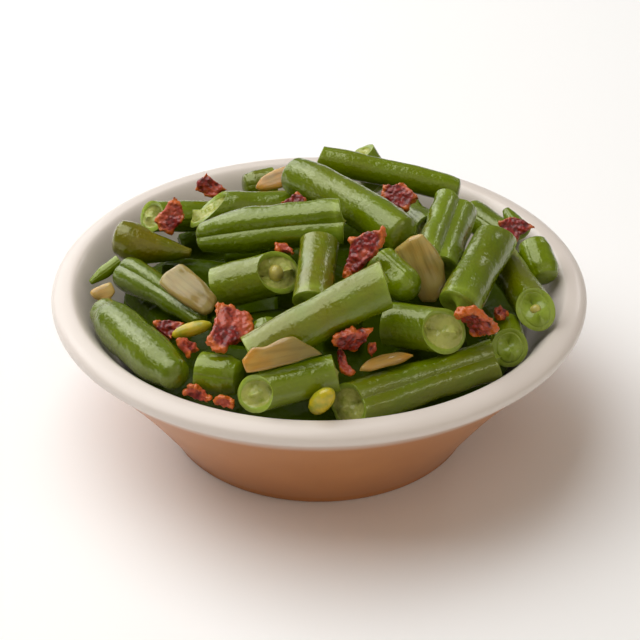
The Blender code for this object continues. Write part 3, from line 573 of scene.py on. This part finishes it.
class PodShape:
    """Where a packed pod lies: its axes, its centre line, its mean radius and its two ends."""

    def __init__(self, pod):
        bm = cad_mesh(pod.node)
        bm.normal_update()
        points = np.array([v.co for v in bm.verts])
        normals = np.array([f.normal for f in bm.faces])
        areas = np.array([f.calc_area() for f in bm.faces])
        self.turn = self.axes(pod, normals, areas)
        self.origin = points.mean(axis=0)
        along = ((points - self.origin) @ self.turn)[:, 0]
        self.low, self.high = along.min(), along.max()
        self.trace(BVHTree.FromBMesh(bm))
        self.ends = [
            self.end_plane(bm, normals, kind, way) for kind, way in zip(pod.ends, (-1, 1))]
        bm.free()

    def axes(self, pod, normals, areas):
        """The pod's length as X and the way to the viewer as Z, as a matrix's columns."""
        weights = areas
        # The side's faces look across the axis. Each round leaves more of the caps out
        for _ in range(4):
            spread = (normals * weights[:, None]).T @ normals
            axis = np.linalg.eigh(spread)[1][:, 0]
            weights = np.where(np.abs(normals @ axis) < SIDE_FACING, areas, 0)
        x = Vector(axis)
        if x.dot(screen_way(pod.heading)) < 0:
            x = -x
        z = viewer()
        z = (z - x * z.dot(x)).normalized()
        return np.array(Matrix((x, z.cross(x), z)).transposed())

    def trace(self, tree):
        """Follows the pod from its middle to both ends, and fits an oval at each step."""
        rays = [2 * math.pi * k / RAYS for k in range(RAYS)]
        found = []
        step = (self.high - self.low) / TRACE_STEPS
        for way in (1, -1):
            y = z = 0.0
            for i in range(TRACE_STEPS // 2 + 1):
                x = (self.low + self.high) / 2 + way * i * step
                start = Vector(self.turn @ (x, y, z) + self.origin)
                rows, reaches = [], []
                for angle in rays:
                    ray = Vector(self.turn @ (0, math.cos(angle), math.sin(angle)))
                    _, normal, _, distance = tree.ray_cast(start, ray)
                    if normal is not None and abs(normal @ Vector(self.turn[:, 0])) < SIDE_FACING:
                        rows.append((1, math.cos(angle), math.sin(angle), math.cos(2 * angle),
                                     math.sin(2 * angle)))
                        reaches.append(distance)
                if len(rows) < LEAST_HITS:
                    break
                fit = np.linalg.lstsq(np.array(rows), np.array(reaches), rcond=None)[0]
                y, z = y + fit[1], z + fit[2]
                found.append((x, y, z, fit[0] * ROUNDER, fit[3], fit[4]))
        found = np.array(sorted(found))
        # Evens out the steps along the pod
        kernel = np.array([1, 2, 3, 2, 1]) / 9
        for column in range(1, 6):
            padded = np.pad(found[:, column], 2, mode="edge")
            found[:, column] = np.convolve(padded, kernel, mode="valid")
        self.line = found

    def at(self, x):
        """Centre, radius and oval at a place along the pod."""
        return [float(np.interp(x, self.line[:, 0], self.line[:, c])) for c in range(1, 6)]

    def end_plane(self, bm, normals, kind, way):
        """An end as how far along it lies, and how that changes across the pod."""
        tip = self.high if way > 0 else self.low
        if kind not in CUTS:
            return (tip, 0.0, 0.0)
        rim = []
        bm.faces.ensure_lookup_table()
        for face, normal in zip(bm.faces, normals):
            if normal @ self.turn[:, 0] * way > CAP_FACING:
                for vert in face.verts:
                    x, y, z = (np.array(vert.co) - self.origin) @ self.turn
                    cy, cz, radius, _, _ = self.at(x)
                    out = math.hypot(y - cy, z - cz)
                    if out > RIM_SHARE * radius and abs(x - tip) < RIM_REACH * radius:
                        rim.append((1, y - cy, z - cz, x))
        rim = np.array(rim)
        middle, across, towards = np.linalg.lstsq(rim[:, :3], rim[:, 3], rcond=None)[0]
        if kind == "e":
            seen = np.array(viewer()) @ self.turn
            towards = min(MOST_SLANT, max(-MOST_SLANT, seen[0] / seen[2]))
        return middle, across, towards


def skin_offset(pod, settings, along, angle, radius, phase):
    """How far the skin stands out from a plain oval tube."""
    # The angle to the nearer of the two seams
    aside = abs((angle - math.radians(pod.seam) + math.pi / 2) % math.pi - math.pi / 2)
    depth = pod.furrow * radius
    furrow = depth * math.exp(-(aside / FURROW_WIDTH) ** 2)
    suture = (settings.suture + SUTURE_IN_FURROW * depth) * math.exp(-(aside / SUTURE_WIDTH) ** 2)
    lips = LIP_HEIGHT * settings.suture * math.exp(-((aside - LIP_PLACE) / LIP_WIDTH) ** 2)
    swell = 0.5 + 0.5 * math.cos(2 * math.pi * along / settings.seed_pitch + phase)
    swelling = SWELLING * radius * (swell - SWELL_MIDDLE) * math.sin(aside) ** 2
    return lips - suture - furrow + swelling


def end_rows(kind, settings, radius, hollow):
    """Rows from an end's skin to its middle: how far in from the skin, how far back, and the zone."""
    if kind not in CUTS:
        return []
    wall = settings.pod_wall
    deep = hollow * MM
    core = PITH if hollow > LEAST_PITH_HOLLOW else WALL
    return [
        (0.06 * MM, 0.02 * MM, WALL),
        (0.2 * MM, -0.04 * MM, WALL),
        (0.5 * wall, -0.02 * MM, WALL),
        (0.85 * wall, 0.05 * MM, WALL),
        (wall, 0.2 * deep + 0.1 * MM, WALL),
        (wall + 0.1 * deep, 0.7 * deep, core),
        (wall + 0.25 * deep + 0.3 * MM, deep, core),
        ((wall + radius) / 2, 1.05 * deep, core),
        (radius, 1.1 * deep, core),
    ]


def make_pod(pod, settings, index):
    """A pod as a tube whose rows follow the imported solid, with its cut ends turned in and closed."""
    shape = PodShape(pod)
    radii = [shape.at(end[0])[2] for end in shape.ends]
    start = end_rows(pod.ends[0], settings, radii[0], pod.hollow[0])
    end = end_rows(pod.ends[1], settings, radii[1], pod.hollow[1])
    count = settings.rows
    rows = [("start", *row) for row in start[::-1]]
    rows += [("body", i / count, 0, SKIN) for i in range(count + 1)]
    rows += [("end", *row) for row in end]
    bm = bmesh.new()
    bmesh.ops.create_cone(
        bm, cap_ends=False, segments=settings.sides, radius1=1, radius2=1, depth=1)
    rise = [edge for edge in bm.edges if abs(edge.verts[0].co.z - edge.verts[1].co.z) > 0.5]
    bmesh.ops.subdivide_edges(bm, edges=rise, cuts=len(rows) - 2)
    place = bm.verts.layers.float_vector.new("pod_place")
    tone = bm.verts.layers.float.new("pod_tone")
    olive = bm.verts.layers.float.new("pod_olive")
    near_cut = bm.verts.layers.float.new("pod_cut")
    cuts = [end[0] for end, kind in zip(shape.ends, pod.ends) if kind in CUTS]
    phase = PHASE_STEP * index
    fade = PALE_REACH * radii[0]
    zones = {}
    for vert in bm.verts:
        row = round((vert.co.z + 0.5) * (len(rows) - 1))
        kind, first, back, zone = rows[row]
        turned = math.atan2(vert.co.y, vert.co.x)
        angle = turned - SEAM_CROWDING * math.sin(2 * turned) + math.radians(pod.seam)
        x, ring = pod_point(pod, shape, settings, kind, first, back, angle, radii, phase)
        cy, cz, *_ = shape.at(x)
        y, z = cy + ring * math.cos(angle), cz + ring * math.sin(angle)
        vert.co = Vector(shape.turn @ (x, y, z) + shape.origin)
        vert[place] = (x, y + index * PATTERN_STEP, z)
        vert[tone], vert[olive] = pod.tone, pod.olive
        vert[near_cut] = PALE_SHARE * sum(math.exp(-abs(x - cut) / fade) for cut in cuts)
        zones[vert.index] = zone
    for face in bm.faces:
        face.material_index = max(zones[vert.index] for vert in face.verts)
    bmesh.ops.remove_doubles(bm, verts=bm.verts[:], dist=0.005 * MM)
    bmesh.ops.recalc_face_normals(bm, faces=bm.faces[:])
    for side, size in enumerate(pod.seeds):
        if size:
            add_inner_seed(bm, shape, shape.ends[side], radii[side] * size, side, pod.hollow[side])
    return bm


def pod_point(pod, shape, settings, kind, first, back, angle, radii, phase):
    """How far along the pod a point of a row lies, and how far out."""
    outs = [end[0] + radius * (end[1] * math.cos(angle) + end[2] * math.sin(angle))
            for end, radius in zip(shape.ends, radii)]
    waver = noise.noise(Vector((math.cos(angle), math.sin(angle), phase)) * CUT_WAVES)
    uneven = CUT_WAVER * waver
    if kind == "body":
        eased = first - END_CROWDING * math.sin(2 * math.pi * first)
        x = outs[0] + (outs[1] - outs[0]) * eased
    elif kind == "start":
        x = outs[0] + back + uneven
    else:
        x = outs[1] - back - uneven
    _, _, radius, oval_y, oval_z = shape.at(x)
    ring = radius + oval_y * math.cos(2 * angle) + oval_z * math.sin(2 * angle)
    ring += skin_offset(pod, settings, x - outs[0], angle, radius, phase)
    spot = Vector((x, ring * math.cos(angle), ring * math.sin(angle) + phase))
    ring += sum(depth * noise.noise(spot * per_mm(pitch)) for depth, pitch in DENTS)
    for tip, last, ending in zip(outs, shape.line[[0, -1], 0], pod.ends):
        beyond = (x - last) / (tip - last)
        if ending not in CUTS and beyond > 0:
            ring *= math.sqrt(max(0.0, 1 - beyond * beyond))
    if kind != "body":
        waver = noise.noise(Vector((math.cos(angle), math.sin(angle), phase + 5)))
        thick = 1 + WALL_WAVER * waver
        ring = max(0.0, ring * (1 - min(1.0, first * thick / radius))) if first < radius else 0.0
    return x, ring


def add_inner_seed(bm, shape, end, size, side, hollow):
    """A seed that shows in a cut end, half sunk in the pith."""
    way = -1 if side == 0 else 1
    x = end[0] - way * (hollow * MM + SEED_SUNK * size)
    cy, cz, *_ = shape.at(x)
    centre = Vector(shape.turn @ (x, cy, cz) + shape.origin)
    matrix = Matrix.Translation(centre) @ Matrix(shape.turn).to_4x4() @ Matrix.Diagonal(
        (*(share * size for share in SEED_SHAPE), 1))
    made = bmesh.ops.create_uvsphere(bm, u_segments=24, v_segments=16, radius=1, matrix=matrix)
    for face in {face for vert in made["verts"] for face in vert.link_faces}:
        face.material_index = INNER_SEED


def voxel_copy(node, voxel, smooth):
    """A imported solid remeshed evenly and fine, with its edges softened, as a bmesh."""
    bm = cad_mesh(node)
    mesh = bpy.data.meshes.new(node + "_fine")
    bm.to_mesh(mesh)
    bm.free()
    helper = bpy.data.objects.new(node + "_fine", mesh)
    bpy.context.scene.collection.objects.link(helper)
    remesh = helper.modifiers.new("even", "REMESH")
    remesh.mode = "VOXEL"
    remesh.voxel_size = voxel
    soften = helper.modifiers.new("soften", "SMOOTH")
    soften.iterations = smooth
    graph = bpy.context.evaluated_depsgraph_get()
    graph.update()
    fine = bmesh.new()
    fine.from_mesh(bpy.data.meshes.new_from_object(helper.evaluated_get(graph)))
    bpy.data.objects.remove(helper)
    fine.normal_update()
    return fine


def flat_frame(points):
    """The axes of a flat piece, its length first and its thickness last, and its middle."""
    middle = points.mean(axis=0)
    _, _, axes = np.linalg.svd(points - middle, full_matrices=False)
    if np.linalg.det(axes) < 0:
        axes[2] = -axes[2]
    return axes, middle


def make_flat_piece(node, marks, prefix, mesh, roughen):
    """A flat piece, remeshed, roughened, and marked for the material.

    marks: for each mark its value at the piece's left end and at its right end.
    roughen: how far a point moves out, from its place and how near it is to the edge.
    """
    bm = voxel_copy(node, *mesh)
    points = np.array([v.co for v in bm.verts])
    axes, middle = flat_frame(points)
    local = (points - middle) @ axes.T
    reach = np.abs(local).max(axis=0)
    left, right = points[:, 0].min(), points[:, 0].max()
    place = bm.verts.layers.float_vector.new(prefix + "_place")
    edges = bm.verts.layers.float.new(prefix + "_edge")
    layers = [(bm.verts.layers.float.new(f"{prefix}_{name}"), ends) for name, ends in marks.items()]
    # The name's letters give each piece its own stretch of the pattern
    offset = Vector((0, sum(map(ord, node)) % 97 * 13 * MM, 0))
    for vert, spot in zip(bm.verts, local):
        spot_here = Vector(spot) + offset
        share = (vert.co.x - left) / (right - left)
        out = math.hypot(spot[0] / reach[0], spot[1] / reach[1])
        vert[place] = spot_here
        vert[edges] = min(1.0, max(0.0, (out - EDGE_START) / EDGE_BREADTH))
        for layer, (first, last) in layers:
            vert[layer] = first + (last - first) * share
        vert.co += vert.normal * roughen(spot_here, vert[edges])
    bm.normal_update()
    return bm


def bowl_profile(settings):
    """The bowl's outline from the middle of the floor, out over the lip and under to the foot."""
    top = settings.height
    rim = settings.rim_radius
    neck = rim - LIP_OVERHANG

    def curve(start, pull, end, count):
        steps = [i / count for i in range(count + 1)]
        return [tuple((1 - k) ** 2 * a + 2 * k * (1 - k) * b + k * k * c
                      for a, b, c in zip(start, pull, end)) for k in steps]

    def arc(centre, reach, first, last, count):
        angles = [math.radians(first + (last - first) * i / count) for i in range(count + 1)]
        return [(centre[0] + reach[0] * math.cos(a), centre[1] + reach[1] * math.sin(a))
                for a in angles]

    crest = rim - 4.4 * MM
    widest = top - 2.2 * MM
    floor = (23.0 * MM, 4.2 * MM)
    slope = (41.0 * MM, 13.0 * MM)
    shoulder = (50.5 * MM, top - 6.4 * MM)
    # The lip starts along the inside's slope, so that the two meet without a crease
    ease = (top - shoulder[1]) / (shoulder[1] - slope[1])
    roll = (shoulder[0] + ease * (shoulder[0] - slope[0]), top)
    inside = curve(floor, slope, shoulder, 40)
    over = curve(shoulder, roll, (crest, top), 14)
    out = arc((crest, widest), (rim - crest, top - widest), 90, 0, 14)
    under = arc((neck, widest), (LIP_OVERHANG, LIP_UNDERCUT), 0, -90, 6)
    wall = curve((neck, widest - LIP_UNDERCUT), (47.4 * MM, 20.7 * MM), (34.5 * MM, 1.2 * MM), 40)
    foot = [(34.35 * MM, 0.5 * MM), (34.0 * MM, 0.12 * MM), (33.6 * MM, 0.0), (31.2 * MM, 0.0),
            (30.6 * MM, 0.15 * MM), (29.0 * MM, FOOT_RECESS), (0.0, FOOT_RECESS)]
    return [(0.0, INNER_FLOOR)] + inside + over[1:] + out[1:] + under[1:] + wall[1:] + foot


def tan_share(x, y, z, normal, top):
    """How tan the bowl is: none on the lip and inside, full on the wall below."""
    facing_out = normal.x * x + normal.y * y
    if facing_out < 0 and z > INNER_FLOOR / 2:
        return 0.0
    return min(1.0, max(0.0, (top - TAN_START - z) / TAN_FADE))


# Operators

class GREENBEANS_OT_bowl(bpy.types.Operator):
    """Make the glazed bowl"""

    bl_idname = "greenbeans.bowl"
    bl_label = "Bowl"

    def execute(self, context):
        settings = context.scene.green_bowl
        bm = bmesh.new()
        verts = [bm.verts.new((r, 0, z)) for r, z in bowl_profile(settings)]
        edges = [bm.edges.new(pair) for pair in zip(verts, verts[1:])]
        bmesh.ops.spin(
            bm, geom=verts + edges, cent=(0, 0, 0), axis=(0, 0, 1), dvec=(0, 0, 0),
            angle=2 * math.pi, steps=settings.segments, use_merge=True, use_duplicate=False)
        bmesh.ops.remove_doubles(bm, verts=bm.verts[:], dist=0.002 * MM)
        bmesh.ops.recalc_face_normals(bm, faces=bm.faces[:])
        bm.normal_update()
        share = bm.verts.layers.float.new("tan_share")
        for vert in bm.verts:
            vert[share] = tan_share(*vert.co, vert.normal, settings.height)
        finished("glazed_bowl", bm, [glazed_china(settings)], "bowl")
        return {"FINISHED"}


class GREENBEANS_OT_pods(bpy.types.Operator):
    """Make every pod that can be seen"""

    bl_idname = "greenbeans.pods"
    bl_label = "Cut beans"

    def execute(self, context):
        settings = context.scene.green_pods
        materials = [
            bean_skin("wet_bean_skin", settings, settings.deep, settings.bright, 1.0),
            cut_wall(settings), pod_pith(settings),
            seed_flesh("inner_seed", settings.seed, settings.seed_shade)]
        for index, pod in enumerate(PODS):
            bm = make_pod(pod, settings, index)
            finished(pod.node.replace("bean", "pod"), bm, materials, pod.node)
        return {"FINISHED"}


class GREENBEANS_OT_lower(bpy.types.Operator):
    """Make the beans deep in the heap"""

    bl_idname = "greenbeans.lower"
    bl_label = "Lower beans"

    def execute(self, context):
        settings = context.scene.green_pods
        # The hidden beans' skin runs from the painted shade green to the deep green, so it is darker than
        # the pods on top: painted shade for the shadow in the heap
        skin = bean_skin("shaded_bean_skin", settings, settings.painted_shade_green, settings.deep, 0.05)
        bm = voxel_copy("lower_beans", *LOWER_MESH)
        place = bm.verts.layers.float_vector.new("pod_place")
        tone = bm.verts.layers.float.new("pod_tone")
        depth, pitch = LOWER_DENTS
        for vert in bm.verts:
            vert[place] = vert.co
            # Tone 0 keeps the hidden beans at the painted shade end of their colours
            vert[tone] = 0.0
            vert.co += vert.normal * depth * noise.noise(vert.co * per_mm(pitch))
        finished("lower_pods", bm, [skin], "lower_beans")
        return {"FINISHED"}


class GREENBEANS_OT_seeds(bpy.types.Operator):
    """Make the loose seeds"""

    bl_idname = "greenbeans.seeds"
    bl_label = "Loose seeds"

    def execute(self, context):
        settings = context.scene.green_seeds
        for node, colours in SEEDS.items():
            bm = voxel_copy(node, *SEED_MESH)
            name = node.replace("bean_", "loose_")
            skin = seed_flesh(name, *(getattr(settings, code) for code in colours))
            finished(name, bm, [skin], node)
        return {"FINISHED"}


class GREENBEANS_OT_onions(bpy.types.Operator):
    """Make the onion pieces"""

    bl_idname = "greenbeans.onions"
    bl_label = "Onion"

    def execute(self, context):
        settings = context.scene.green_onions
        material = fried_onion(settings)

        def ripple(spot, _):
            # Fine ribs along the slice over broader waves
            ribs = noise.noise(Vector((spot.x * 0.1, spot.y, 0)) * per_mm(1.4))
            return 0.09 * MM * ribs + 0.4 * MM * noise.noise(spot * per_mm(4.5))

        for node, (left, right) in ONIONS.items():
            marks = {"tone": (left[0], right[0]), "clear": (left[1], right[1])}
            bm = make_flat_piece(node, marks, "layer", ONION_MESH, ripple)
            finished(node.replace("onion_", "onion_layer_"), bm, [material], node)
        return {"FINISHED"}


class GREENBEANS_OT_bacon(bpy.types.Operator):
    """Make the bits of bacon"""

    bl_idname = "greenbeans.bacon"
    bl_label = "Bacon"

    def execute(self, context):
        settings = context.scene.green_bacon
        material = fried_bacon(settings)

        def rough(spot, edge):
            # A torn surface, most so at the edge, with lumps of the grain's size
            torn = noise.fractal(spot * per_mm(2.4), 1.0, 2.0, 4)
            lump = 0.45 - noise.voronoi(spot / settings.grain)[0][0]
            return (0.35 + 0.4 * edge) * MM * torn + 0.5 * settings.grain * lump

        for node, tone in BACONS.items():
            bm = make_flat_piece(node, {"tone": (tone, tone)}, "rasher", BACON_MESH, rough)
            finished(node.replace("bacon_", "rasher_"), bm, [material], node)
        return {"FINISHED"}


class GREENBEANS_OT_stage(bpy.types.Operator):
    """Make the floor, the lights and the camera"""

    bl_idname = "greenbeans.stage"
    bl_label = "Stage"

    def execute(self, context):
        settings = context.scene.green_stage
        bm = bmesh.new()
        bmesh.ops.create_circle(bm, cap_ends=True, segments=64, radius=FLOOR_RADIUS)
        mesh = bpy.data.meshes.new("floor")
        bm.to_mesh(mesh)
        bm.free()
        floor = bpy.data.objects.new("floor", mesh)
        material, _, shader = new_material("pale_floor")
        set_values(shader, Base_Color=settings.floor, Roughness=0.8)
        mesh.materials.append(material)
        context.scene.collection.objects.link(floor)
        for name, (power, size, place, tint) in LIGHTS.items():
            lamp = bpy.data.lights.new(name, "AREA")
            lamp.energy = getattr(settings, power)
            lamp.size = size
            lamp.color = linear(tint)[:3]
            light = bpy.data.objects.new(name, lamp)
            light.location = place
            light.rotation_euler = (PHOTO_AIM - Vector(place)).to_track_quat("-Z", "Y").to_euler()
            context.scene.collection.objects.link(light)
        world = bpy.data.worlds.new("studio")
        world.use_nodes = True
        sky = world.node_tree.nodes["Background"]
        sky.inputs["Color"].default_value = settings.sky_tint
        sky.inputs["Strength"].default_value = settings.sky
        context.scene.world = world
        context.scene.view_settings.view_transform = "Standard"
        camera = bpy.data.cameras.new("photo_view")
        camera.lens = LENS_MM
        camera.sensor_width = SENSOR_MM
        eye = bpy.data.objects.new("photo_view", camera)
        eye.location = PHOTO_AIM + viewer() * PHOTO_DISTANCE
        eye.rotation_euler = (-viewer()).to_track_quat("-Z", "Y").to_euler()
        context.scene.collection.objects.link(eye)
        context.scene.camera = eye
        return {"FINISHED"}


class GREENBEANS_PT_panel(bpy.types.Panel):
    """The bowl of beans in the sidebar"""

    bl_idname = "GREENBEANS_PT_panel"
    bl_label = "Green Beans"
    bl_space_type = "VIEW_3D"
    bl_region_type = "UI"
    bl_category = "Green Beans"

    def draw(self, context):
        for group, operators in PANEL_ROWS:
            box = self.layout.box()
            settings = getattr(context.scene, group)
            for name in settings.bl_rna.properties.keys():
                if name not in ("rna_type", "name"):
                    box.prop(settings, name)
            for operator in operators:
                box.operator(operator.bl_idname)


GROUPS = {
    "green_bowl": BowlSettings,
    "green_pods": BeanSettings,
    "green_seeds": SeedSettings,
    "green_onions": OnionSettings,
    "green_bacon": BaconSettings,
    "green_stage": StageSettings,
}

PANEL_ROWS = (
    ("green_bowl", (GREENBEANS_OT_bowl,)),
    ("green_pods", (GREENBEANS_OT_pods, GREENBEANS_OT_lower)),
    ("green_seeds", (GREENBEANS_OT_seeds,)),
    ("green_onions", (GREENBEANS_OT_onions,)),
    ("green_bacon", (GREENBEANS_OT_bacon,)),
    ("green_stage", (GREENBEANS_OT_stage,)),
)

OPERATORS = [operator for _, operators in PANEL_ROWS for operator in operators]


def register():
    for cls in [*GROUPS.values(), *OPERATORS, GREENBEANS_PT_panel]:
        bpy.utils.register_class(cls)
    for name, group in GROUPS.items():
        setattr(bpy.types.Scene, name, PointerProperty(type=group))


def unregister():
    for name in GROUPS:
        delattr(bpy.types.Scene, name)
    for cls in [GREENBEANS_PT_panel, *OPERATORS[::-1], *list(GROUPS.values())[::-1]]:
        bpy.utils.unregister_class(cls)


def main():
    """Registers the add-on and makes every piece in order."""
    register()
    for operator in OPERATORS:
        family, name = operator.bl_idname.split(".")
        getattr(getattr(bpy.ops, family), name)()


if __name__ == "__main__":
    main()
